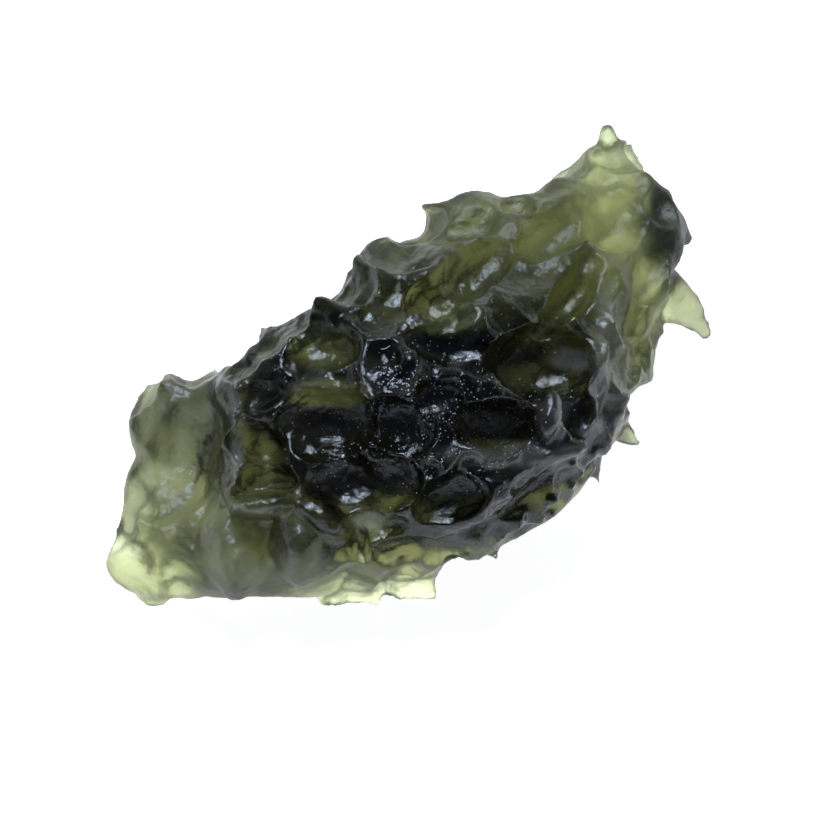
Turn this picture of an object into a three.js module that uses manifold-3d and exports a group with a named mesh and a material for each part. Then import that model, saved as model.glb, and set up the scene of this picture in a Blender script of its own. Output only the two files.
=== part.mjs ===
// A moldavite: a rough piece of natural green glass, about 29 mm long, lying on its flattest side.
// Millimetres, +Z up, +X along the stone. The origin is in the middle of the base, on the surface it lies on.
//
// The stone is one long rounded body with thin flanges at its foot. Bowl-shaped pits are cut out of it all
// over, so that sharp ridges stand between them. Knuckles, a tooth and spikes are then joined on.

import * as THREE from "three";
import { ImprovedNoise } from "three/addons/math/ImprovedNoise.js";
import { mergeVertices } from "three/addons/utils/BufferGeometryUtils.js";
import Module from "manifold-3d";

const wasm = await Module();
wasm.setup();

// ---- driving dimensions ----

const bodyMiddle = 1.3;
const bodyHalfLength = 14.2;
const bodyDetail = 10;
const squareness = 2.2;
const facePitFacet = 0.65;
const hiddenPitFacet = 0.95;
const lumpFacet = 0.65;
const coneSides = 7;
const coneRings = 3;
const shortestEdge = 0.2;
const noArea = 1e-5;
const mostTurn = 0.6;
const restCut = 0.25;
const bodyUneven = 0.07;
const lumpUneven = 0.12;
const pitUneven = 0.2;
const bodySwell = 2.6;
const ballSwell = 0.75;
const ballRoundness = 1.1;
const pitLean = 0.5;
const farOff = 40;
const floorWidth = 60;
const floorDepth = 10;

// Along the stone: x, then where the middle of the section is, and how far it reaches out, up and down
// there, before the rounding of the two ends takes it in.
const stations = [
  { x: -13.0, y: 3.4, z: 2.0, out: 5.6, up: 2.4, down: 6.0 },
  { x: -9.4, y: 2.6, z: 2.6, out: 6.0, up: 3.3, down: 4.0 },
  { x: -7.2, y: 1.6, z: 3.3, out: 6.5, up: 4.9, down: 4.1 },
  { x: -5.0, y: 0.6, z: 3.7, out: 6.7, up: 6.0, down: 4.1 },
  { x: -2.0, y: -0.5, z: 4.1, out: 6.7, up: 6.5, down: 4.3 },
  { x: 2.0, y: -0.9, z: 4.2, out: 6.5, up: 6.0, down: 4.3 },
  { x: 6.0, y: -0.5, z: 4.2, out: 6.5, up: 5.2, down: 4.4 },
  { x: 9.0, y: 0.2, z: 4.2, out: 5.9, up: 4.5, down: 4.8 },
  { x: 12.5, y: 0.7, z: 4.3, out: 5.7, up: 3.9, down: 5.6 },
  { x: 15.5, y: 2.4, z: 4.6, out: 5.0, up: 3.8, down: 6.0 },
];

// ---- directions and solids ----

const degrees = THREE.MathUtils.degToRad;
const point = (x, y, z) => new THREE.Vector3(x, y, z);

function solidOf(geometry) {
  const bare = geometry.index ? geometry.toNonIndexed() : geometry.clone();
  bare.deleteAttribute("normal");
  bare.deleteAttribute("uv");
  const merged = mergeVertices(bare, 1e-4);
  return new wasm.Manifold(
    new wasm.Mesh({
      numProp: 3,
      vertProperties: merged.attributes.position.array,
      triVerts: new Uint32Array(merged.index.array),
    }),
  );
}

function geometryOf(solid) {
  const { numProp, vertProperties, triVerts } = solid.getMesh();
  const places = [];
  for (let i = 0; i < vertProperties.length; i += numProp) {
    places.push(vertProperties[i], vertProperties[i + 1], vertProperties[i + 2]);
  }
  const geometry = new THREE.BufferGeometry();
  geometry.setAttribute("position", new THREE.Float32BufferAttribute(places, 3));
  geometry.setIndex([...triVerts]);
  geometry.computeVertexNormals();
  return geometry;
}

// Three axes square to each other: the third is the outward one, the first is close to the asked direction
// turned by an angle about the outward one.
function axesOn(outward, toward, turn) {
  const first = toward.clone().projectOnPlane(outward).normalize().applyAxisAngle(outward, degrees(turn));
  return [first, outward.clone().cross(first), outward.clone()];
}

const noise = new ImprovedNoise();

// Moves each corner of a solid towards or away from its middle by a share of its distance. The swells are
// as broad as the given length.
function roughen(geometry, middle, share, breadth) {
  const place = geometry.attributes.position;
  const corner = new THREE.Vector3();
  for (let i = 0; i < place.count; i += 1) {
    corner.fromBufferAttribute(place, i);
    const swell = noise.noise(corner.x / breadth, corner.y / breadth, corner.z / breadth);
    corner.sub(middle).multiplyScalar(1 + share * swell).add(middle);
    place.setXYZ(i, corner.x, corner.y, corner.z);
  }
  return geometry;
}

function ball(centre, radii, axes, facet, uneven) {
  const mean = Math.cbrt(radii[0] * radii[1] * radii[2]);
  const detail = Math.max(1, Math.round((ballRoundness * mean) / facet) - 1);
  const matrix = new THREE.Matrix4().makeBasis(...axes).scale(point(...radii)).setPosition(centre);
  const geometry = new THREE.IcosahedronGeometry(1, detail).applyMatrix4(matrix);
  return solidOf(roughen(geometry, centre, uneven, ballSwell * mean));
}

// A cone from the middle of its base to its tip. Its thickness is a share of its width.
function cone(foot, tip, radius, thickness, thinWay) {
  const along = tip.clone().sub(foot);
  const length = along.length();
  along.normalize();
  const thin = thinWay.clone().projectOnPlane(along).normalize();
  const matrix = new THREE.Matrix4().makeBasis(along.clone().cross(thin), along, thin).setPosition(foot);
  const geometry = new THREE.ConeGeometry(radius, length, coneSides, coneRings).translate(0, length / 2, 0);
  return solidOf(roughen(geometry.scale(1, 1, thickness).applyMatrix4(matrix), foot, lumpUneven, radius));
}

// ---- the body ----

// A value of the stations at x, eased between the two that x lies between.
function stationValue(x, name) {
  const last = stations.length - 2;
  let i = 0;
  while (i < last && x > stations[i + 1].x) i += 1;
  const t = (x - stations[i].x) / (stations[i + 1].x - stations[i].x);
  return THREE.MathUtils.lerp(stations[i][name], stations[i + 1][name], THREE.MathUtils.smoothstep(t, 0, 1));
}

function rounded(value) {
  return Math.sign(value) * Math.abs(value) ** (2 / squareness);
}

function bodyGeometry() {
  const geometry = new THREE.IcosahedronGeometry(1, bodyDetail);
  const place = geometry.attributes.position;
  for (let i = 0; i < place.count; i += 1) {
    const x = bodyMiddle + bodyHalfLength * place.getX(i);
    const ring = Math.hypot(place.getY(i), place.getZ(i));
    const side = ring > 1e-6 ? place.getY(i) / ring : 0;
    const rise = ring > 1e-6 ? place.getZ(i) / ring : 0;
    const reach = stationValue(x, rise > 0 ? "up" : "down");
    place.setXYZ(
      i,
      x,
      stationValue(x, "y") + ring * stationValue(x, "out") * rounded(side),
      stationValue(x, "z") + ring * reach * rounded(rise),
    );
  }
  return roughen(geometry, point(bodyMiddle, 0, 4), bodyUneven, bodySwell);
}

// ---- the broad face ----
// Most of what stands out of the stone or is cut into it is set out on its broad face, seen square on: the
// first number runs across the face to the right and the second up it. The face leans back and is turned
// off the length.

const faceTurn = degrees(-43.5);
const faceLean = degrees(60);
const faceFoot = point(0, 0, 4);
const faceOut = point(
  Math.sin(faceTurn) * Math.cos(faceLean),
  -Math.cos(faceTurn) * Math.cos(faceLean),
  Math.sin(faceLean),
);
const faceRight = point(Math.cos(faceTurn), Math.sin(faceTurn), 0);
const faceUp = faceOut.clone().cross(faceRight);

function facePoint(across, up, out) {
  const place = faceFoot.clone().addScaledVector(faceRight, across);
  return place.addScaledVector(faceUp, up).addScaledVector(faceOut, out);
}

// ---- lumps that the body has before it is pitted ----

const lumps = [
  // across, up and out to the middle, then the half sizes across, up and out, turned on the face
  { across: -8.3, up: 0.75, out: -0.9, half: [3.2, 1.2, 1.5], turn: 20 },
  { across: -9.9, up: -0.4, out: -0.2, half: [1.9, 2.2, 2.2], turn: 20 },
  { across: -10.4, up: -6.2, out: 0.2, half: [1.4, 2.0, 1.0], turn: -10 },
  { across: -5.0, up: 2.9, out: 1.6, half: [2.0, 1.3, 2.0], turn: 25 },
  { across: -1.6, up: 5.45, out: 0.9, half: [2.2, 1.5, 2.4], turn: 38 },
  { across: 2.4, up: 8.0, out: -2.2, half: [2.5, 1.35, 2.0], turn: -3 },
  { across: 8.0, up: 8.9, out: -4.6, half: [1.3, 2.4, 1.9], turn: 10 },
  { across: 10.3, up: 7.5, out: -3.8, half: [1.1, 2.0, 1.6], turn: 14 },
  { across: -1.9, up: -7.2, out: 0.7, half: [2.4, 1.0, 0.8], turn: 4 },
  { across: 0.8, up: -6.9, out: 0.5, half: [2.2, 0.9, 0.8], turn: 4 },
  { across: 7.9, up: 1.8, out: 0.9, half: [0.7, 4.0, 2.2], turn: 0 },
  { across: 9.1, up: 2.4, out: -1.4, half: [0.9, 2.4, 1.8], turn: 4 },
  // the fin, the tooth and the ridge at the foot of the groove
  { across: -7.1, up: -1.3, out: 3.3, half: [0.85, 2.8, 2.0], turn: -3 },
  { across: 5.6, up: 0.0, out: 3.5, half: [0.8, 1.3, 1.9], turn: 15 },
  { across: 0.3, up: -4.6, out: 2.8, half: [2.1, 0.7, 1.5], turn: 25 },
  // the lip of the ledge, and the ridge that runs from the crater to it
  { across: 3.9, up: -1.9, out: 3.7, half: [3.6, 0.7, 1.5], turn: 9 },
  { across: 1.4, up: 1.5, out: 4.2, half: [3.6, 0.7, 1.4], turn: -14 },
  { across: 5.1, up: 5.0, out: 0.9, half: [3.0, 0.7, 1.6], turn: 46 },
  { across: 9.6, up: 4.4, out: -3.2, half: [1.5, 1.6, 1.3], turn: -40 },
];

function lumpSolid({ across, up, out, half, turn }) {
  return ball(facePoint(across, up, out), half, axesOn(faceOut, faceRight, turn), lumpFacet, lumpUneven);
}

const peaks = [
  // across, up and out of the foot, then of the tip, and the radius at the foot
  { foot: [-2.9, 2.4, 1.6], tip: [-3.95, 4.75, 4.7], radius: 3.6 },
  { foot: [5.3, -0.4, 2.0], tip: [5.3, 0.7, 4.4], radius: 1.6 },
  { foot: [-0.6, 6.0, -1.0], tip: [-1.0, 6.9, 2.2], radius: 2.2 },
];

function spikeSolid({ foot, tip, radius, thickness = 1 }) {
  return cone(facePoint(...foot), facePoint(...tip), radius, thickness, faceOut);
}

const lumpedSolid = [...lumps.map(lumpSolid), ...peaks.map(spikeSolid)].reduce(
  (solid, lump) => solid.add(lump),
  solidOf(bodyGeometry()),
);
const lumpedMesh = new THREE.Mesh(geometryOf(lumpedSolid), new THREE.MeshBasicMaterial());

// ---- where a pit's middle lies ----

function hitFrom(start, direction) {
  return new THREE.Raycaster(start, direction).intersectObject(lumpedMesh)[0];
}

function faceHit(across, up) {
  return hitFrom(facePoint(across, up, farOff), faceOut.clone().negate());
}

// ---- pits ----

// The ball that cuts a pit with an oval mouth of two half sizes, so deep in its middle.
function pit(middle, outward, toward, { long, wide, turn = 0, deep }, facet) {
  const half = Math.sqrt(long * wide);
  const radius = (half * half + deep * deep) / (2 * deep);
  const radii = [(radius * long) / half, (radius * wide) / half, radius];
  const centre = middle.clone().addScaledVector(outward, radius - deep);
  return ball(centre, radii, axesOn(outward, toward, turn), facet, pitUneven);
}

function facePit(spec) {
  const hit = faceHit(spec.across, spec.up);
  const outward = faceOut.clone().lerp(hit.face.normal, pitLean).normalize();
  return pit(hit.point, outward, faceRight, spec, facePitFacet);
}

// A pit in the outline of the face. "from" is the way it is cut from, as an angle on the face, and "out" is
// how far out of the face's plane its middle lies.
function edgePit(spec) {
  const aim = facePoint(spec.across, spec.up, spec.out);
  const away = faceRight.clone().applyAxisAngle(faceOut, degrees(spec.from));
  const hit = hitFrom(aim.clone().addScaledVector(away, farOff), away.clone().negate());
  return pit(hit.point, away, faceOut, spec, facePitFacet);
}

const facePits = [
  // the near end, behind the fin
  { across: -9.5, up: -1.9, long: 2.8, wide: 1.8, turn: 70, deep: 1.4 },
  { across: -10.3, up: 0.9, long: 1.0, wide: 0.6, turn: 25, deep: 0.35 },
  { across: -8.8, up: 0, long: 1.07, wide: 0.74, turn: 10, deep: 0.7 },
  { across: -8.7, up: -3.1, long: 1.7, wide: 0.9, turn: 78, deep: 1.3 },
  { across: -10.8, up: -3.2, long: 1.48, wide: 0.99, turn: 110, deep: 0.6 },
  { across: -11.7, up: -5.2, long: 1.23, wide: 0.82, turn: 115, deep: 0.5 },
  { across: -9.9, up: -6.1, long: 1.4, wide: 1.07, turn: 80, deep: 0.5 },
  // the fin and the striated block
  { across: -7.6, up: -1.2, long: 1.89, wide: 0.45, turn: 93, deep: 0.5 },
  { across: -6.2, up: 0.7, long: 1.07, wide: 0.62, turn: 12, deep: 0.5 },
  { across: -6.1, up: -1.4, long: 1.0, wide: 0.8, turn: -10, deep: 1.3 },
  { across: -6.0, up: -2.8, long: 1.3, wide: 0.9, turn: 0, deep: 1.5 },
  // the facet under the peak, and the crater
  { across: -3.8, up: 2.9, long: 1.9, wide: 1.3, turn: -18, deep: 1.2 },
  { across: -3.6, up: -0.5, long: 2.2, wide: 1.55, turn: 10, deep: 2.3 },
  { across: -1.2, up: 2.5, long: 0.99, wide: 0.74, turn: -30, deep: 0.7 },
  // right of the crater
  { across: -0.5, up: -0.6, long: 1.5, wide: 1.2, turn: -35, deep: 1.7 },
  { across: 1.0, up: 0.6, long: 1.1, wide: 0.85, turn: 20, deep: 1.6 },
  { across: 2.3, up: -0.3, long: 0.91, wide: 1.07, turn: 0, deep: 0.9 },
  { across: 3.5, up: -0.5, long: 1.7, wide: 1.1, turn: 6, deep: 2.1 },
  { across: 1.6, up: 2.8, long: 2.1, wide: 1.0, turn: -12, deep: 1.3 },
  // the pool, the groove and the rim at its foot
  { across: -2.3, up: -2.9, long: 2.7, wide: 1.5, turn: 4, deep: 2.1 },
  { across: -1.9, up: -4.6, long: 1.07, wide: 0.74, turn: -20, deep: 1.1 },
  { across: -2.2, up: -5.4, long: 0.99, wide: 0.45, turn: -70, deep: 1.1 },
  { across: -0.5, up: -5.6, long: 1.56, wide: 0.58, turn: 12, deep: 0.8 },
  // the ledges
  { across: 1.6, up: -3.5, long: 1.9, wide: 1.1, turn: 25, deep: 1.3 },
  { across: 3.8, up: -2.3, long: 1.81, wide: 0.41, turn: 10, deep: 0.4 },
  { across: 5.2, up: -3.4, long: 2.2, wide: 1.0, turn: 25, deep: 1.1 },
  { across: 6.7, up: -2, long: 1.23, wide: 0.41, turn: 14, deep: 0.4 },
  { across: 3.2, up: -4.8, long: 1.9, wide: 0.8, turn: 22, deep: 0.8 },
  { across: 0.7, up: -2.3, long: 0.66, wide: 0.49, turn: 0, deep: 0.4 },
  // the hump at the back
  { across: 0.8, up: 4.7, long: 1.07, wide: 0.82, turn: 20, deep: 2 },
  { across: -0.8, up: 5, long: 1.4, wide: 0.82, turn: 62, deep: 0.9 },
  { across: -2.1, up: 5.1, long: 1.07, wide: 0.62, turn: 72, deep: 0.7 },
  { across: 0, up: 6.2, long: 1.23, wide: 0.58, turn: 10, deep: 0.6 },
  { across: 1.7, up: 4.6, long: 0.66, wide: 0.41, turn: 0, deep: 0.6 },
  // the far half: long scoops and the bowl beside the curtain
  { across: 2.7, up: 6.3, long: 2.8, wide: 1.3, turn: 52, deep: 1.7 },
  { across: 6.5, up: 4.9, long: 2.2, wide: 0.75, turn: 52, deep: 2.0 },
  { across: 5.4, up: 2.1, long: 2.4, wide: 1.7, turn: 20, deep: 2.6 },
  { across: 6.9, up: 0, long: 0.99, wide: 1.15, turn: 0, deep: 1.3 },
  { across: 6.1, up: 7.7, long: 2.39, wide: 1.07, turn: 42, deep: 1.1 },
  { across: 2.3, up: 7.8, long: 1.65, wide: 0.82, turn: 8, deep: 0.9 },
  { across: 8.6, up: 8.3, long: 2.14, wide: 1.4, turn: 58, deep: 1.6 },
  { across: 10, up: 6, long: 1.81, wide: 1.15, turn: 66, deep: 1.2 },
  { across: 8.3, up: 2.5, long: 3.29, wide: 0.33, turn: 92, deep: 0.7 },
  { across: 9.3, up: 3.4, long: 2.47, wide: 0.66, turn: 86, deep: 0.9 },
  { across: 4.4, up: 3.4, long: 1.07, wide: 0.58, turn: 60, deep: 0.7 },
];

// Long is across the face's plane here, and wide runs along the outline.
const edgePits = [
  { across: -7.3, up: 2.9, out: -0.5, from: 125, long: 2.6, wide: 1.1, deep: 0.8 },
  { across: -4.0, up: 4.6, out: 1.5, from: 120, long: 2.2, wide: 0.8, deep: 0.7 },
  { across: -2.9, up: 5.6, out: 1.5, from: 120, long: 2.0, wide: 0.8, deep: 0.7 },
  { across: 0.2, up: 7.6, out: -1.2, from: 140, long: 2.4, wide: 0.8, deep: 0.9 },
  { across: 4.9, up: 9.2, out: -3.0, from: 110, long: 2.6, wide: 1.7, deep: 0.9 },
  { across: 6.6, up: 10.2, out: -4.0, from: 130, long: 2.6, wide: 1.7, deep: 0.8 },
  { across: 10.0, up: 10.3, out: -4.4, from: 45, long: 2.6, wide: 2.0, deep: 0.9 },
  { across: 11.0, up: 4.6, out: -3.0, from: 0, long: 2.0, wide: 1.5, deep: 0.8 },
  { across: 9.4, up: 0.5, out: -1.2, from: 0, long: 2.0, wide: 0.9, deep: 1.0 },
  { across: 8.6, up: -2.1, out: -0.4, from: -30, long: 2.0, wide: 0.8, deep: 0.9 },
];

// ---- the sides that the face turns away from: pits in rings round the stone ----

// Broad hollows that leave the two ends and the foot thin: where they lie along the stone, and the angle
// round it from +Y over the top.
const hollows = [
  { x: 11.3, angle: 265, long: 3.2, wide: 2.3, deep: 1.7 },
  { x: 10.0, angle: 10, long: 2.7, wide: 2.0, deep: 1.2 },
  { x: 13.2, angle: 320, long: 1.9, wide: 1.7, deep: 1.0 },
  { x: 14.5, angle: 200, long: 1.1, wide: 0.8, deep: 0.5 },
  { x: 14.3, angle: 285, long: 1.3, wide: 0.8, deep: 0.6 },
  { x: 14.6, angle: 20, long: 1.2, wide: 0.9, deep: 0.5 },
  { x: 12.4, angle: 290, long: 1.2, wide: 0.9, deep: 0.6 },
  { x: 11.4, angle: 235, long: 1.4, wide: 0.8, deep: 0.6 },
  { x: 8.2, angle: 285, long: 1.5, wide: 0.9, deep: 0.6 },
  { x: 12.0, angle: 345, long: 1.3, wide: 0.8, deep: 0.6 },
  { x: -9.9, angle: 258, long: 2.3, wide: 2.0, deep: 0.8 },
  { x: -8.6, angle: 25, long: 2.0, wide: 1.8, deep: 0.5 },
  { x: -6.2, angle: 238, long: 2.2, wide: 1.5, deep: 1.4 },
  { x: -2.2, angle: 234, long: 2.5, wide: 1.5, deep: 1.5 },
  { x: 2.6, angle: 224, long: 2.8, wide: 1.4, deep: 1.1 },
];

const random = THREE.MathUtils.seededRandom;
const ringReach = { from: -12, to: 14.8 };
const sidePits = { step: 2.3, apart: 2.6, half: 1.8, deep: 0.7, onFace: false, seed: 11 };
const fillPits = { step: 1.7, apart: 1.9, half: 1.25, deep: 0.55, onFace: true, seed: 21 };
const pitNarrowness = 0.8;
const sizeSpread = 0.25;
const depthSpread = 0.4;
const roundShift = 0.6;
const alongShift = 0.3;
const fewestInRing = 4;
const girthPerReach = 5.4;
const faceEdge = 0.1;
const alongStone = point(1, 0, 0);

function axisHit(x, angle) {
  const middle = point(x, stationValue(x, "y"), stationValue(x, "z"));
  const outward = point(0, Math.cos(angle), Math.sin(angle));
  return hitFrom(middle.clone().addScaledVector(outward, farOff), outward.negate());
}

function hollowPit(spec) {
  const hit = axisHit(spec.x, degrees(spec.angle));
  return pit(hit.point, hit.face.normal, alongStone, spec, hiddenPitFacet);
}

// Rings of pits of about one size, on the side that the face looks to or on all the others.
function ringPits({ step, apart, half, deep, onFace, seed }) {
  const solids = [];
  random(seed);
  const vary = (spread) => 1 + spread * (2 * random() - 1);
  for (let x = ringReach.from; x < ringReach.to; x += step) {
    const taper = Math.sqrt(1 - ((x - bodyMiddle) / bodyHalfLength) ** 2);
    const girth = girthPerReach * stationValue(x, "out") * taper;
    const count = Math.max(fewestInRing, Math.round(girth / apart));
    for (let i = 0; i < count; i += 1) {
      const angle = ((i + roundShift * random()) / count) * 2 * Math.PI;
      const hit = axisHit(x + alongShift * step * (random() - 0.5), angle);
      const size = half * vary(sizeSpread);
      const shape = {
        long: size * vary(sizeSpread),
        wide: size * pitNarrowness,
        turn: 180 * random(),
        deep: deep * vary(depthSpread),
      };
      if (!hit || hit.face.normal.dot(faceOut) > faceEdge !== onFace) continue;
      solids.push(pit(hit.point, hit.face.normal, alongStone, shape, hiddenPitFacet));
    }
  }
  return solids;
}

// ---- what stands out of the pitted stone ----

const knuckles = [
  // the tooth and the far shoulder, then the knuckles and the arch over them, then the nub
  { across: 5.45, up: -0.1, out: 4.7, half: [0.65, 1.2, 1.1], turn: -6 },
  { across: 10.2, up: 8.7, out: -4.4, half: [0.7, 2.4, 1.2], turn: 38 },
  { across: -7.25, up: -5.6, out: 2.2, half: [1.6, 2.0, 2.5], turn: 6 },
  { across: -4.6, up: -5.3, out: 2.8, half: [1.35, 1.9, 2.6], turn: 4 },
  { across: -3.7, up: -4.1, out: 3.9, half: [1.6, 0.8, 2.0], turn: -35 },
  { across: -5.9, up: -3.7, out: 4.1, half: [1.7, 0.6, 1.9], turn: 8 },
  { across: 8.1, up: 11.4, out: -4.6, half: [0.45, 0.8, 0.45], turn: 0 },
];

const spikes = [
  { foot: [8.0, 9.8, -4.5], tip: [8.1, 12.2, -4.9], radius: 1.0, thickness: 0.8 },
  { foot: [7.4, 0.2, -0.6], tip: [9.4, -1.4, -0.9], radius: 1.5, thickness: 0.6 },
  { foot: [6.9, -0.8, 0.2], tip: [7.7, -3.1, -0.1], radius: 1.3, thickness: 0.7 },
  { foot: [2.4, -3.8, 2.0], tip: [3.5, -6.2, 1.7], radius: 1.5, thickness: 0.7 },
];

// The spur at the far end: balls in a bent row, each smaller than the one before.
const spurRow = [
  [9.6, 5.3, -3.5],
  [11.6, 4.6, -4.2],
  [12.5, 2.9, -4.3],
];
const spurBalls = { count: 6, largest: 1.45, smallest: 0.2, length: 1.3, thickness: 0.55 };

function spurSolids() {
  const { count, largest, smallest, length, thickness } = spurBalls;
  const bow = new THREE.QuadraticBezierCurve3(...spurRow.map((place) => facePoint(...place)));
  const solids = [];
  for (let i = 0; i < count; i += 1) {
    const t = i / (count - 1);
    const half = THREE.MathUtils.lerp(largest, smallest, t);
    const axes = axesOn(faceOut, bow.getTangent(t), 0);
    solids.push(ball(bow.getPoint(t), [length * half, half, thickness * half], axes, lumpFacet, pitUneven));
  }
  return solids;
}

// ---- tidying the skin ----

// The cuts leave slivers where rims cross. This closes each short edge onto one of its ends, where exactly
// the two triangles beside it go and none of the others turns over, so that the skin stays whole.
function withoutShortEdges(geometry, shortest) {
  const place = geometry.attributes.position;
  const cornerAt = (_, i) => new THREE.Vector3().fromBufferAttribute(place, i);
  const corners = Array.from({ length: place.count }, cornerAt);
  const index = geometry.index.array;
  const triangleAt = (_, i) => [...index.slice(3 * i, 3 * i + 3)];
  const triangles = Array.from({ length: index.length / 3 }, triangleAt);
  const around = corners.map(() => new Set());
  triangles.forEach((triangle, t) => triangle.forEach((corner) => around[corner].add(t)));

  const neighbours = (corner) => {
    const near = new Set([...around[corner]].flatMap((t) => triangles[t]));
    near.delete(corner);
    return near;
  };
  const normal = ([a, b, c]) => {
    const side = corners[b].clone().sub(corners[a]);
    return side.cross(corners[c].clone().sub(corners[a]));
  };
  const staysUp = (t, gone, kept) => {
    const moved = triangles[t].map((corner) => (corner === gone ? kept : corner));
    const before = normal(triangles[t]);
    const after = normal(moved);
    return before.length() < noArea || before.angleTo(after) < mostTurn;
  };
  const canClose = (gone, kept) => {
    const shared = [...neighbours(gone)].filter((corner) => neighbours(kept).has(corner));
    const others = [...around[gone]].filter((t) => !triangles[t].includes(kept));
    return shared.length === 2 && others.every((t) => staysUp(t, gone, kept));
  };
  const close = (gone, kept) => {
    for (const t of around[gone]) {
      if (triangles[t].includes(kept)) {
        triangles[t].forEach((corner) => corner !== gone && around[corner].delete(t));
        triangles[t] = null;
      } else {
        triangles[t] = triangles[t].map((corner) => (corner === gone ? kept : corner));
        around[kept].add(t);
      }
    }
    around[gone].clear();
  };

  for (let t = 0; t < triangles.length; t += 1) {
    for (let side = 0; side < 3 && triangles[t]; side += 1) {
      const a = triangles[t][side];
      const b = triangles[t][(side + 1) % 3];
      if (corners[a].distanceTo(corners[b]) > shortest) continue;
      if (canClose(a, b)) close(a, b);
      else if (canClose(b, a)) close(b, a);
    }
  }
  geometry.setIndex(triangles.filter((triangle) => triangle).flat());
  return geometry.toNonIndexed();
}

// Where a pit cuts a crumb loose, the crumb goes.
function withoutCrumbs(solid) {
  const larger = (one, other) => (other.volume() > one.volume() ? other : one);
  return solid.decompose().reduce(larger);
}

function built() {
  let stone = lumpedSolid;
  const cutters = [
    ...facePits.map(facePit),
    ...edgePits.map(edgePit),
    ...hollows.map(hollowPit),
    ...ringPits(sidePits),
    ...ringPits(fillPits),
  ];
  for (const cutter of cutters) stone = stone.subtract(cutter);
  for (const lump of knuckles) stone = stone.add(lumpSolid(lump));
  for (const spike of [...spikes.map(spikeSolid), ...spurSolids()]) stone = stone.add(spike);
  stone = solidOf(withoutShortEdges(geometryOf(stone), shortestEdge));
  const floor = new THREE.BoxGeometry(floorWidth, floorWidth, floorDepth);
  floor.translate(0, 0, restCut - floorDepth / 2);
  return withoutCrumbs(stone.subtract(solidOf(floor)));
}

// ---- the part ----

function stoneGeometry() {
  const geometry = geometryOf(built());
  geometry.computeBoundingBox();
  const { min, max } = geometry.boundingBox;
  return geometry.translate(-(min.x + max.x) / 2, -(min.y + max.y) / 2, -min.z);
}

const glass = new THREE.MeshStandardMaterial({ color: 0x3a4420, roughness: 0.3, metalness: 0 });
const stone = new THREE.Mesh(stoneGeometry(), glass);
stone.name = "moldavite";

const part = new THREE.Group();
part.add(stone);

export default part;
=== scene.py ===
import math
import random

import bmesh
import bpy
from mathutils import Matrix, Vector, noise


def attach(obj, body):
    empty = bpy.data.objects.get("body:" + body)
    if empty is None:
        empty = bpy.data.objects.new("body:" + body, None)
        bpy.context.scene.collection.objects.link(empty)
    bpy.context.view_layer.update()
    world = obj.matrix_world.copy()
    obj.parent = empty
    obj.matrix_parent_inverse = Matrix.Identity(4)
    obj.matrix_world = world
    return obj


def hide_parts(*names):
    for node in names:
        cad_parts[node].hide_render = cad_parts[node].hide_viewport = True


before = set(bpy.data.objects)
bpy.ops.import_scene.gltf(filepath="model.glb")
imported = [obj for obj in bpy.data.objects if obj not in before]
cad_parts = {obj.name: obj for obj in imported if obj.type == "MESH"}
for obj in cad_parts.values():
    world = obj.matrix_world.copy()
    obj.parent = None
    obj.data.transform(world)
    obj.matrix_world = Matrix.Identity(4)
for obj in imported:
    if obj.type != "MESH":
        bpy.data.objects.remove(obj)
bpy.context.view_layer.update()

millimetre = 0.001


def report(text):
    print("stone scene:", text)


def towards(azimuth, elevation):
    # which way something stands from the stone: azimuth 0 is along -Y, and 90 along +X
    azimuth, elevation = math.radians(azimuth), math.radians(elevation)
    return Vector((
        math.sin(azimuth) * math.cos(elevation),
        -math.cos(azimuth) * math.cos(elevation),
        math.sin(elevation),
    ))


def newObject(name, bm):
    mesh = bpy.data.meshes.new(name)
    bm.to_mesh(mesh)
    bm.free()
    made = bpy.data.objects.new(name, mesh)
    bpy.context.scene.collection.objects.link(made)
    return made


view = {
    "azimuth": -43.5,     # degrees, 0 looks along +Y
    "elevation": 60,      # degrees above the table
    "distance": 0.300,    # metres
    "width": 0.034,       # metres across the picture at the stone
    "aim": (-0.00094, -0.00065, 0.00375),  # metres
    "sensor": 36,         # mm
    "clip": (0.01, 5),    # metres
}

# The camera looks square on at the stone's broad face.
# Spots on the face are in mm, across it and up it from the camera's aim.
faceOut = towards(view["azimuth"], view["elevation"])
faceAcross = Vector((0, 0, 1)).cross(faceOut).normalized()
faceUp = faceOut.cross(faceAcross)


def makeCamera():
    data = bpy.data.cameras.new("camera")
    data.sensor_width = view["sensor"]
    data.lens = view["sensor"] * view["distance"] / view["width"]
    data.clip_start, data.clip_end = view["clip"]
    camera = bpy.data.objects.new("camera", data)
    camera.location = Vector(view["aim"]) + faceOut * view["distance"]
    camera.rotation_euler = (-faceOut).to_track_quat("-Z", "Y").to_euler()
    bpy.context.scene.collection.objects.link(camera)
    bpy.context.scene.camera = camera


makeCamera()
report("camera")


def onFace(place):
    # place is in mm
    offset = place - Vector(view["aim"]) / millimetre
    return offset.dot(faceAcross), offset.dot(faceUp)


def ramp(value, start, end):
    share = min(max((value - start) / (end - start), 0), 1)
    return share * share * (3 - 2 * share)


def inSpot(spot, across, up, fade, stray=0):
    # 1 in the middle of an oval spot, fading to 0 between two distances in reaches
    acrossIt = (across - spot["at"][0]) / spot["reach"][0]
    upIt = (up - spot["at"][1]) / spot["reach"][1]
    return 1 - ramp(math.hypot(acrossIt, upIt) + stray, *fade)


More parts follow.
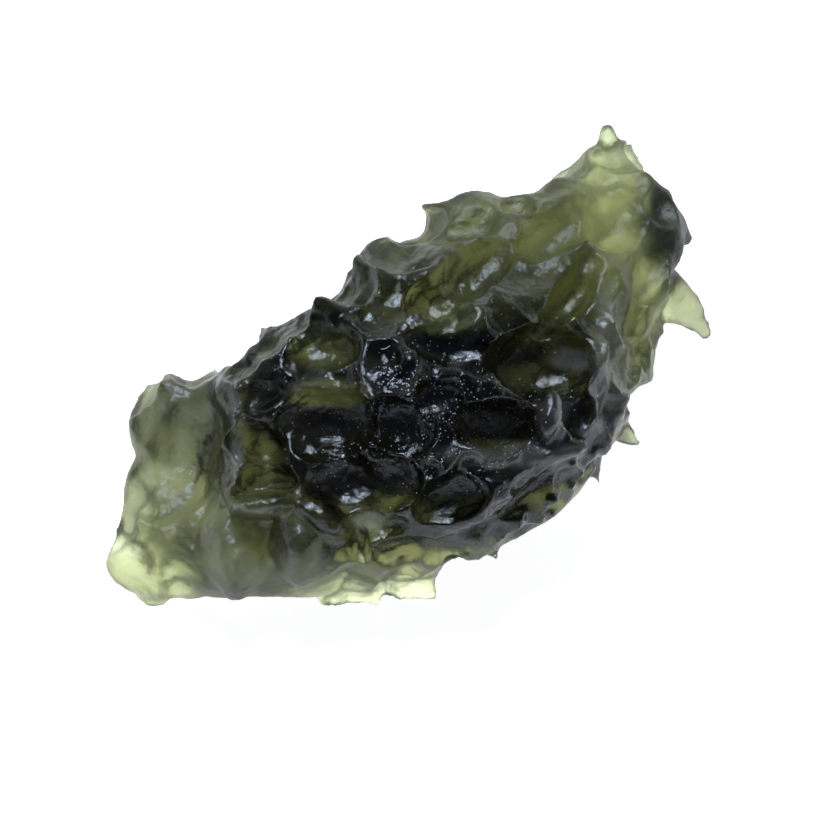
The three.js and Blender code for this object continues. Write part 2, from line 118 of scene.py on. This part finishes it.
skin = {
    "weld": 1e-7,          # metres, points closer than this are one
    "grain": 0.132,        # mm, the size of the finished skin's faces
    "ridgeAngle": 0.25,    # radians between faces, past which a point is on a ridge
    "smoothing": 0.5,      # how far one pass takes a point to the middle of those around it
    "bowlPasses": 6,       # smoothing of the bowls between the ridges
    "blendPasses": 1,      # smoothing of everything
    "wearPasses": 4,       # more smoothing, where the stone is worn
    "wornRelief": 0.75,    # the share of the scallops' depth that is left there
    "proudest": 0.4,       # in face sizes, how far a point on a full ridge stands above those around it
    "ownShare": 0.5,       # how much of that mark is the point's own, the rest is from those around it
    "fresh": {"at": (0.9, -0.4), "reach": (8.6, 5.4)},  # where the stone isn't worn
    "freshFade": (0.85, 1.55),
}

scallops = {
    "sizes": [
        # mm across a cell, mm deep in the bowls and on the ridges, where the pattern starts
        {"cell": 2.1, "bowl": 0.16, "ridge": 0.10, "start": (8.4, 1.6, 6.3)},
        {"cell": 1.0, "bowl": 0.11, "ridge": 0.10, "start": (3.1, 7.7, 1.9)},
        {"cell": 0.5, "bowl": 0.03, "ridge": 0.08, "start": (11.3, 2.2, 5.4)},
        {"cell": 0.3, "bowl": 0.006, "ridge": 0.04, "start": (5.9, 8.8, 3.6)},
    ],
    "stray": 0.5,          # how far their edges stray, in cells
    "turns": 1.7,          # and how often to the cell
    "seed": 3,             # never 0, which would stray another way each time
    "power": 1.6,          # how the floor of a scallop rises to its edge
    "middle": 0.45,        # the height that leaves the skin where it is
}


def shellOf(node):
    bm = bmesh.new()
    bm.from_mesh(node.data)
    bmesh.ops.remove_doubles(bm, verts=bm.verts, dist=skin["weld"])
    bmesh.ops.scale(bm, vec=(1 / millimetre,) * 3, verts=bm.verts)  # worked in millimetres
    stone = newObject("stone", bm)
    remesh = stone.modifiers.new("even faces", "REMESH")
    remesh.mode = "VOXEL"
    remesh.voxel_size = skin["grain"]
    bpy.context.view_layer.update()
    evened = bpy.data.meshes.new_from_object(stone.evaluated_get(bpy.context.evaluated_depsgraph_get()))
    stone.modifiers.clear()
    stone.data = evened
    return stone


def around(vert):
    return [edge.other_vert(vert) for edge in vert.link_edges]


def dropCrumbs(bm):
    # keeps the biggest connected part
    parts = []
    for vert in bm.verts:
        vert.tag = False
    for first in bm.verts:
        if first.tag:
            continue
        first.tag = True
        part = [first]
        for vert in part:
            unseen = [other for other in around(vert) if not other.tag]
            for other in unseen:
                other.tag = True
            part += unseen
        parts.append(part)
    parts.sort(key=len)
    for crumb in parts[:-1]:
        bmesh.ops.delete(bm, geom=crumb, context="VERTS")


def smooth(bm, verts, passes):
    for _ in range(passes):
        bmesh.ops.smooth_vert(
            bm, verts=verts, factor=skin["smoothing"],
            use_axis_x=True, use_axis_y=True, use_axis_z=True,
        )


def wearDown(bm, worn):
    for done in range(skin["wearPasses"]):
        still = [vert for vert in bm.verts if vert[worn] * skin["wearPasses"] > done]
        smooth(bm, still, 1)


def onRidge(vert):
    return any(edge.calc_face_angle_signed(0) > skin["ridgeAngle"] for edge in vert.link_edges)


def proudness(vert):
    # positive on a ridge, negative in a crease
    rises = [vert.normal.dot(vert.co - other.co) for other in around(vert)]
    return sum(rises) / len(rises) / skin["grain"] / skin["proudest"]


def markRidges(bm, layer):
    for vert in bm.verts:
        vert[layer] = proudness(vert)
    own = skin["ownShare"]
    spread = []
    for vert in bm.verts:
        near = [other[layer] for other in around(vert)]
        spread.append(own * vert[layer] + (1 - own) * sum(near) / len(near))
    for vert, value in zip(bm.verts, spread):
        vert[layer] = value


def cusp(place, cell, start):
    # lowest in the middle of a cell, and no higher than at one cell's distance from it
    where = (place + Vector(start)) / cell
    where += noise.noise_vector(where * scallops["turns"]) * scallops["stray"]
    return min(noise.voronoi(where)[0][0], 1.0) ** scallops["power"] - scallops["middle"]


def relief(place, ridge):
    height = 0
    for size in scallops["sizes"]:
        deep = size["bowl"] + (size["ridge"] - size["bowl"]) * ridge
        height += deep * cusp(place, size["cell"], size["start"])
    return height


def raiseScallops(bm, proud, worn):
    moves = []
    for vert in bm.verts:
        left = 1 - (1 - skin["wornRelief"]) * vert[worn]
        ridge = min(max(vert[proud], 0), 1)
        moves.append(vert.normal * left * relief(vert.co, ridge))
    for vert, move in zip(bm.verts, moves):
        vert.co += move
        vert.co.z = max(vert.co.z, 0)


paintedLight = {
    # painted light and shade on the skin: 0 where no light comes through, 1 where all of it does
    "broad": 0.23,              # over the broad face
    "other": 0.80,              # over the stone's other sides
    "turn": (-0.35, 0.15),      # how far the skin looks the face's way, where one goes over to the other
    "wander": 0.16,             # how far it wanders
    "lobe": 2.6,                # and over how many mm
    "waves": (0.8, 2.2, 4),     # how fast its finer waves fade, how much finer each is, how many there are
    "stray": 0.3,               # how ragged the spots' edges are, in reaches
    "paintedShadeHeart": {"at": (0.4, -0.3), "reach": (8.5, 4.3)},  # painted shade over the glossy middle of the broad face
    "paintedShadeHeartFade": (0.82, 1.2),
    "paintedLightSpots": [                # painted light: lighter spots
        {"at": (-3.2, 0.8), "reach": (1.5, 0.5), "paintedLight": 0.9},
        {"at": (-3.6, 2.7), "reach": (1.2, 0.8), "paintedLight": 0.45},
        {"at": (-6.2, -1.9), "reach": (0.9, 0.9), "paintedLight": 0.15},
        {"at": (5.6, 1.5), "reach": (2.0, 0.7), "paintedLight": 0.06},
        {"at": (8.4, 8.2), "reach": (2.1, 3.4), "paintedLight": 1.0},
        {"at": (6.1, 5.9), "reach": (1.6, 1.7), "paintedLight": 0.36},
        {"at": (3.6, 7.6), "reach": (3.0, 1.5), "paintedLight": 0.6},
        {"at": (1.4, 3.9), "reach": (1.4, 0.6), "paintedLight": 0.8},
        {"at": (9.8, 2.6), "reach": (1.1, 3.8), "paintedLight": 1.0},
        {"at": (-1.7, -4.4), "reach": (0.9, 0.5), "paintedLight": 0.7},
        {"at": (-7.2, -6.3), "reach": (1.4, 0.9), "paintedLight": 0.7},
        {"at": (0.7, -6.9), "reach": (5.4, 1.4), "paintedLight": 1.0},
        {"at": (-11.4, -7.6), "reach": (2.2, 2.6), "paintedLight": 1.0},
    ],
    "paintedShadeSpots": [                 # painted shade: darker spots, laid over the painted light spots
        {"at": (10.8, 8.5), "reach": (1.5, 3.0), "paintedLight": 0.01},
        {"at": (-0.6, 5.2), "reach": (1.3, 1.7), "paintedLight": 0.2},
        {"at": (-10.5, -0.6), "reach": (2.2, 2.2), "paintedLight": 0.06},
        {"at": (-8.6, 0.6), "reach": (1.9, 1.6), "paintedLight": 0.02},
        {"at": (-7.6, -1.3), "reach": (0.9, 2.1), "paintedLight": 0.02},
        {"at": (3.0, -4.3), "reach": (4.4, 1.0), "paintedLight": 0.01},
    ],
    "spotFade": (0.6, 1.3),
}

dullSpotsAndSheen = {
    "spots": [                  # satin spots with a painted grey sheen, which go right through to the skin behind
        {"at": (8.0, 0.8), "reach": (0.8, 4.4), "share": 0.6},
        {"at": (4.4, -1.7), "reach": (3.4, 0.6), "share": 0.8},
        {"at": (5.5, -0.3), "reach": (0.7, 1.0), "share": 0.5},
        {"at": (6.5, 2.2), "reach": (1.0, 0.5), "share": 0.9},
        {"at": (7.2, -2.6), "reach": (1.8, 1.2), "share": 0.6},
        {"at": (-6.6, -5.0), "reach": (2.6, 1.7), "share": 0.3},
        {"at": (-7.1, -1.2), "reach": (0.3, 2.0), "share": 0.9},
        {"at": (-1.7, -4.4), "reach": (0.8, 0.4), "share": 0.7},
    ],
    "fade": (0.6, 1.3),
}


def paintedLightAt(vert):
    # painted light and shade: how much light the skin's colour lets through here
    across, up = onFace(vert.co)
    wander = noise.fractal(vert.co / paintedLight["lobe"], *paintedLight["waves"])
    stray = paintedLight["stray"] * wander
    paintedShadeHeart = inSpot(paintedLight["paintedShadeHeart"], across, up, paintedLight["paintedShadeHeartFade"], stray)
    clear = (paintedLight["broad"] + paintedLight["wander"] * wander) * (1 - paintedShadeHeart)
    for spot in paintedLight["paintedLightSpots"] + paintedLight["paintedShadeSpots"]:
        clear += (spot["paintedLight"] - clear) * inSpot(spot, across, up, paintedLight["spotFade"], stray)
    # the painted light and shade lie only on skin that looks the broad face's way
    facing = ramp(vert.normal.dot(faceOut), *paintedLight["turn"])
    return paintedLight["other"] + (clear - paintedLight["other"]) * facing


def dullAndSheenAt(vert):
    across, up = onFace(vert.co)
    return max(inSpot(spot, across, up, dullSpotsAndSheen["fade"]) * spot["share"] for spot in dullSpotsAndSheen["spots"])


def carve(stone):
    noise.seed_set(scallops["seed"])
    bm = bmesh.new()
    bm.from_mesh(stone.data)
    dropCrumbs(bm)
    bm.normal_update()
    proud = bm.verts.layers.float.new("proud")
    worn = bm.verts.layers.float.new("worn")
    # painted light and shade, kept on the skin
    clear = bm.verts.layers.float.new("clear")
    # dull satin spots, partly real wear and partly a painted grey sheen
    dullAndSheen = bm.verts.layers.float.new("dullAndSheen")
    for vert in bm.verts:
        vert[worn] = 1 - inSpot(skin["fresh"], *onFace(vert.co), skin["freshFade"])
    bowls = [vert for vert in bm.verts if not onRidge(vert)]
    report(f"{len(bm.verts)} points, {len(bm.verts) - len(bowls)} of them on ridges, {len(bm.faces)} faces")
    smooth(bm, bowls, skin["bowlPasses"])
    smooth(bm, bm.verts, skin["blendPasses"])
    wearDown(bm, worn)
    bm.normal_update()
    markRidges(bm, proud)
    raiseScallops(bm, proud, worn)
    bm.normal_update()
    markRidges(bm, proud)
    for vert in bm.verts:
        vert[clear] = paintedLightAt(vert)
        vert[dullAndSheen] = dullAndSheenAt(vert)
    bmesh.ops.scale(bm, vec=(millimetre,) * 3, verts=bm.verts)
    bm.to_mesh(stone.data)
    bm.free()
    stone.data.shade_smooth()


stone = shellOf(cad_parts["moldavite"])
report("even skin")
carve(stone)
report("carved skin")

# which sockets of a mix node take the first and the second value, and which gives the result
mixSockets = {"RGBA": (6, 7, 2), "FLOAT": (2, 3, 0)}


def newMaterial(name):
    material = bpy.data.materials.new(name)
    material.use_nodes = True
    return material, material.node_tree.nodes["Principled BSDF"]


def newNode(owner, kind, **values):
    node = owner.node_tree.nodes.new(kind)
    for name, value in values.items():
        setattr(node, name, value)
    return node


def feed(owner, socket, value):
    if isinstance(value, bpy.types.NodeSocket):
        owner.node_tree.links.new(value, socket)
    else:
        socket.default_value = value


def newNoise(owner, place, scale, detail, roughness):
    node = newNode(owner, "ShaderNodeTexNoise")
    feed(owner, node.inputs["Vector"], place)
    feed(owner, node.inputs["Scale"], scale)
    feed(owner, node.inputs["Detail"], detail)
    feed(owner, node.inputs["Roughness"], roughness)
    return node.outputs["Fac"]


def newRange(owner, value, start, end):
    # carries start[0]..start[1] over to end[0]..end[1]
    node = newNode(owner, "ShaderNodeMapRange")
    feed(owner, node.inputs["Value"], value)
    node.inputs["From Min"].default_value, node.inputs["From Max"].default_value = start
    node.inputs["To Min"].default_value, node.inputs["To Max"].default_value = end
    return node.outputs["Result"]


def newMath(owner, operation, first, second, clamped=False):
    node = newNode(owner, "ShaderNodeMath", operation=operation, use_clamp=clamped)
    feed(owner, node.inputs[0], first)
    feed(owner, node.inputs[1], second)
    return node.outputs[0]


def newMix(owner, share, first, second, kind="RGBA"):
    node = newNode(owner, "ShaderNodeMix", data_type=kind)
    one, other, result = mixSockets[kind]
    feed(owner, node.inputs[0], share)
    feed(owner, node.inputs[one], first)
    feed(owner, node.inputs[other], second)
    return node.outputs[result]


def attribute(owner, name):
    return newNode(owner, "ShaderNodeAttribute", attribute_name=name).outputs["Fac"]


glass = {
    "clear": (0.90, 1.0, 0.66, 1),      # the tint of the skin off the ridges, where the painted light is full
    "ridge": (0.78, 0.85, 0.58, 1),     # and on them
    "deep": (0.003, 0.003, 0.008, 1),   # the painted shade colour, where no light comes through
    "shine": 0.17,                      # roughness where no light comes through
    "satin": 0.34,                      # where all of it does
    "frost": 0.46,                      # and where the skin is fully worn
    "darkFrost": 0.35,                  # the share of the ridges' wear where no light comes through
    "darkFade": (0, 0.3),               # the painted light levels between which it grows to all of it
    "worn": 0.95,                       # the wear at the stone's worn ends
    "see": 0.98,                        # the share of the light that goes in
    "ior": 1.5,
    "deepGloss": (0.80, 0.87, 1.0, 1),  # the tint of reflections where no light comes through
    "gloss": (0.93, 0.98, 0.86, 1),     # and where all of it does
    "mirror": 0.3,                      # how strong they are
    "density": 700,                     # absorbed per metre where the colour below is black
    "absorb": (0.465, 0.465, 0.28, 1),
    "coatRoughness": 0.38,
    "coat": 0.5,                        # the coat's weight in the dull spots
    "ridgeCoat": 0.03,                  # and on the ridges
    "paintedSheen": (0.34, 0.35, 0.38, 1),     # the painted grey sheen of the dull spots
    "paintedSheenShare": 0.4,                  # how much of the skin's own colour it covers
    "dullSpotsHide": 0.45,                 # how much less is seen through them
    "blotches": {"scale": 1500, "detail": 6, "roughness": 0.5},  # uneven wear, to the metre
    "blotchRange": (0.3, 0.7),          # the part of that noise that is used
    "blotchy": 0.2,                     # how much wear it adds or takes
    "grit": {"scale": 1400, "detail": 8, "roughness": 0.65},     # coarse bumps, to the metre
    "dents": 3600,                      # finer ones, to the metre
    "dentShare": 0.4,                   # how deep they are beside the coarse ones
    "gritHeight": 0.00006,              # metres
    "calm": 0.9,                        # the share of the bumps that is left where no light comes through
    "streaks": (350, 3200, 3200),       # to the metre along the face, up it and out of it
    "streakNoise": {"scale": 1, "detail": 3, "roughness": 0.6},
    "streakTurn": -14,                  # degrees
    "streakShare": 0.5,                 # how deep they are beside the bumps where no light comes through
    "streakFade": (0, 0.5),             # the painted light levels between which they fade out
}


def makeBumps(material, place, clear):
    dents = newNode(material, "ShaderNodeTexVoronoi")
    feed(material, dents.inputs["Vector"], place)
    feed(material, dents.inputs["Scale"], glass["dents"])
    dented = newMath(material, "MULTIPLY", dents.outputs["Distance"], glass["dentShare"])
    grit = newMath(material, "ADD", dented, newNoise(material, place, **glass["grit"]))
    return newMath(material, "MULTIPLY", grit, newRange(material, clear, (0, 1), (glass["calm"], 1)))


def makeStreaks(material, place, clear):
    turn = Matrix.Rotation(math.radians(glass["streakTurn"]), 3, faceOut)
    face = turn @ Matrix((faceAcross, faceUp, faceOut)).transposed()
    along = newNode(material, "ShaderNodeMapping", vector_type="TEXTURE")
    feed(material, along.inputs["Vector"], place)
    feed(material, along.inputs["Rotation"], face.to_euler())
    feed(material, along.inputs["Scale"], [1 / streak for streak in glass["streaks"]])
    streaks = newNoise(material, along.outputs["Vector"], **glass["streakNoise"])
    shown = newRange(material, clear, glass["streakFade"], (glass["streakShare"], 0))
    return newMath(material, "MULTIPLY", streaks, shown)


def colourGlass(material, shader, clear, ridge, dullAndSheen):
    tint = newMix(material, ridge, glass["clear"], glass["ridge"])
    # painted shade: the skin's colour goes to near black where the painted light is low
    through = newMix(material, clear, glass["deep"], tint)
    # painted sheen: grey mixed into the skin's colour in the dull spots, which also let less light through
    paintedSheen = newMath(material, "MULTIPLY", dullAndSheen, glass["paintedSheenShare"])
    hidden = newMath(material, "MULTIPLY", dullAndSheen, glass["dullSpotsHide"])
    feed(material, shader.inputs["Base Color"], newMix(material, paintedSheen, through, glass["paintedSheen"]))
    feed(material, shader.inputs["Transmission Weight"], newMath(material, "SUBTRACT", glass["see"], hidden))
    gloss = newMix(material, clear, glass["deepGloss"], glass["gloss"])
    feed(material, shader.inputs["Specular Tint"], gloss)


def roughenGlass(material, shader, clear, ridge, dullAndSheen):
    smoother = newMix(material, clear, glass["shine"], glass["satin"], "FLOAT")
    inDark = newRange(material, clear, glass["darkFade"], (glass["darkFrost"], 1))
    onEdges = newMath(material, "MULTIPLY", ridge, inDark)
    onEnds = newMath(material, "MULTIPLY", attribute(material, "worn"), glass["worn"])
    frosted = newMath(material, "MAXIMUM", onEdges, onEnds)
    feed(material, shader.inputs["Roughness"], newMix(material, frosted, smoother, glass["frost"], "FLOAT"))
    onRidges = newMath(material, "MULTIPLY", ridge, glass["ridgeCoat"])
    onSpots = newMath(material, "MULTIPLY", dullAndSheen, glass["coat"])
    feed(material, shader.inputs["Coat Weight"], newMath(material, "ADD", onRidges, onSpots))


def dentGlass(material, shader, clear):
    place = newNode(material, "ShaderNodeTexCoord").outputs["Object"]
    height = newMath(material, "ADD", makeBumps(material, place, clear), makeStreaks(material, place, clear))
    bump = newNode(material, "ShaderNodeBump")
    feed(material, bump.inputs["Strength"], 1)
    feed(material, bump.inputs["Distance"], glass["gritHeight"])
    feed(material, bump.inputs["Height"], height)
    feed(material, shader.inputs["Normal"], bump.outputs["Normal"])


def fillGlass(material):
    absorb = newNode(material, "ShaderNodeVolumeAbsorption")
    feed(material, absorb.inputs["Color"], glass["absorb"])
    feed(material, absorb.inputs["Density"], glass["density"])
    feed(material, material.node_tree.nodes["Material Output"].inputs["Volume"], absorb.outputs["Volume"])


def ridgeWear(material):
    place = newNode(material, "ShaderNodeTexCoord").outputs["Object"]
    blotches = newNoise(material, place, **glass["blotches"])
    uneven = newRange(material, blotches, glass["blotchRange"], (-glass["blotchy"], glass["blotchy"]))
    return newMath(material, "ADD", attribute(material, "proud"), uneven, clamped=True)


def makeGlass():
    material, shader = newMaterial("moldavite glass")
    feed(material, shader.inputs["IOR"], glass["ior"])
    feed(material, shader.inputs["Specular IOR Level"], glass["mirror"])
    feed(material, shader.inputs["Coat Roughness"], glass["coatRoughness"])
    # the painted light and shade, which also set the gloss, the bumps and the streaks
    clear = attribute(material, "clear")
    dullAndSheen = attribute(material, "dullAndSheen")
    ridge = ridgeWear(material)
    colourGlass(material, shader, clear, ridge, dullAndSheen)
    roughenGlass(material, shader, clear, ridge, dullAndSheen)
    dentGlass(material, shader, clear)
    fillGlass(material)
    return material


stone.data.materials.append(makeGlass())
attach(stone, "root")
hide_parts("moldavite")
report("glass")

dust = {
    "patches": [           # spots on the face, spread in mm, radius of a grain in mm
        {"at": (0.6, -0.3), "spread": (2.9, 1.6), "grains": 900, "size": (0.008, 0.028)},
        {"at": (-1.0, 1.6), "spread": (0.25, 0.2), "grains": 24, "size": (0.02, 0.045)},
        {"at": (-0.3, 1.2), "spread": (0.2, 0.15), "grains": 12, "size": (0.02, 0.045)},
        {"at": (2.4, -1.1), "spread": (0.3, 0.5), "grains": 14, "size": (0.012, 0.035)},
    ],
    "seed": 5,
    "colour": (0.66, 0.70, 0.82, 1),
    "roughness": 0.9,
    "fibres": [            # where one starts on the face, which way it looks back in degrees, mm long
        {"at": (-1.79, -0.12), "turn": 189, "long": 0.6},
        {"at": (-0.84, 2.28), "turn": 150, "long": 0.66},
        {"at": (-1.29, 2.58), "turn": 178, "long": 0.4},
    ],
    "fibreRadius": 0.014,  # mm
    "fibreLift": 0.07,     # mm above the skin where it starts
    "fibreCurl": 0.85,     # radians from end to end
    "fibreSteps": 9,
    "fibreSides": 6,
}


def onStone(across, up):
    start = Vector(view["aim"]) + (faceAcross * across + faceUp * up) * millimetre + faceOut * view["width"]
    found, place, _, _ = stone.ray_cast(start, -faceOut)
    return place if found else None


def addGrain(bm, patch):
    across = random.gauss(patch["at"][0], patch["spread"][0])
    up = random.gauss(patch["at"][1], patch["spread"][1])
    size = random.uniform(*patch["size"]) * millimetre
    place = onStone(across, up)
    if place:
        bmesh.ops.create_icosphere(bm, subdivisions=1, radius=size, matrix=Matrix.Translation(place))


def addFibre(bm, fibre):
    start = onStone(*fibre["at"]) + faceOut * dust["fibreLift"] * millimetre
    along = Matrix.Rotation(math.radians(fibre["turn"]), 3, faceOut) @ faceAcross
    inward = along.cross(faceOut)
    bend = start + inward * fibre["long"] / dust["fibreCurl"] * millimetre
    corners = []
    for corner in range(dust["fibreSides"]):
        angle = math.tau * corner / dust["fibreSides"]
        offset = inward * math.cos(angle) + faceOut * math.sin(angle)
        corners.append(start + offset * dust["fibreRadius"] * millimetre)
    rings = []
    for step in range(dust["fibreSteps"] + 1):
        turn = Matrix.Rotation(dust["fibreCurl"] * step / dust["fibreSteps"], 3, faceOut)
        rings.append([bm.verts.new(bend + turn @ (corner - bend)) for corner in corners])
    for near, far in zip(rings, rings[1:]):
        for corner in range(dust["fibreSides"]):
            bm.faces.new((near[corner - 1], near[corner], far[corner], far[corner - 1]))
    bm.faces.new(rings[0])
    bm.faces.new(rings[-1])


def makeDust():
    random.seed(dust["seed"])
    bm = bmesh.new()
    for patch in dust["patches"]:
        for _ in range(patch["grains"]):
            addGrain(bm, patch)
    for fibre in dust["fibres"]:
        addFibre(bm, fibre)
    bmesh.ops.recalc_face_normals(bm, faces=bm.faces)
    piece = newObject("dust", bm)
    piece.data.shade_smooth()
    material, shader = newMaterial("dust")
    feed(material, shader.inputs["Base Color"], dust["colour"])
    feed(material, shader.inputs["Roughness"], dust["roughness"])
    piece.data.materials.append(material)
    return piece


bpy.context.view_layer.update()
lint = makeDust()
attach(lint, "root")
report(f"dust, {len(lint.data.polygons)} faces")

studio = {
    "table": 1.2,                     # metres to a side
    "tableGlow": 0.95,
    "throughGlass": 1.75,             # its glow seen through the stone
    "tableLight": (1, 1, 1, 1),       # the colour of its glow
    "tableGrey": (0.5, 0.5, 0.5, 1),
    "tableRoughness": 0.9,
    "bright": (0.98, 1.0, 0.96, 1),   # the band around the horizon
    "soft": (0.44, 0.46, 0.39, 1),    # the sky above it
    "dark": (0.045, 0.05, 0.09, 1),   # the sky that the broad face looks at
    "darkSide": (view["azimuth"], 62),  # azimuth and elevation of its middle, in degrees
    "darkEdge": (-0.05, 0.4),         # cosine of the angle from it where the sky is soft, and dark
    "horizon": (0.03, 0.16),          # how high the bright band is full, and where it ends
}

lamp = {
    "azimuth": 150,       # degrees
    "elevation": 68,
    "distance": 0.3,      # metres
    "size": 0.09,         # metres
    "watts": 0.85,
    "colour": (0.86, 0.93, 1),
}


def makeTable():
    bm = bmesh.new()
    bmesh.ops.create_grid(bm, x_segments=1, y_segments=1, size=studio["table"] / 2)
    table = newObject("table", bm)
    material, shader = newMaterial("table white")
    feed(material, shader.inputs["Base Color"], studio["tableGrey"])
    feed(material, shader.inputs["Roughness"], studio["tableRoughness"])
    feed(material, shader.inputs["Specular IOR Level"], 0)
    feed(material, shader.inputs["Emission Color"], studio["tableLight"])
    through = newNode(material, "ShaderNodeLightPath").outputs["Is Transmission Ray"]
    glow = newMix(material, through, studio["tableGlow"], studio["throughGlass"], "FLOAT")
    feed(material, shader.inputs["Emission Strength"], glow)
    table.data.materials.append(material)


def makeSky():
    world = bpy.data.worlds.new("studio")
    bpy.context.scene.world = world
    world.use_nodes = True
    place = newNode(world, "ShaderNodeTexCoord").outputs["Generated"]
    nearness = newNode(world, "ShaderNodeVectorMath", operation="DOT_PRODUCT")
    feed(world, nearness.inputs[0], place)
    feed(world, nearness.inputs[1], towards(*studio["darkSide"]))
    height = newNode(world, "ShaderNodeSeparateXYZ")
    feed(world, height.inputs[0], place)
    near = newRange(world, nearness.outputs["Value"], studio["darkEdge"], (0, 1))
    high = newRange(world, height.outputs["Z"], studio["horizon"], (0, 1))
    above = newMix(world, near, studio["soft"], studio["dark"])
    sky = newMix(world, high, studio["bright"], above)
    feed(world, world.node_tree.nodes["Background"].inputs["Color"], sky)


def makeLamp():
    way = towards(lamp["azimuth"], lamp["elevation"])
    data = bpy.data.lights.new("far lamp", "AREA")
    data.size, data.energy, data.color = lamp["size"], lamp["watts"], lamp["colour"]
    light = bpy.data.objects.new("far lamp", data)
    light.location = way * lamp["distance"]
    light.rotation_euler = way.to_track_quat("Z", "Y").to_euler()
    bpy.context.scene.collection.objects.link(light)


makeTable()
makeSky()
makeLamp()
bpy.context.scene.view_settings.view_transform = "Standard"
report("studio")
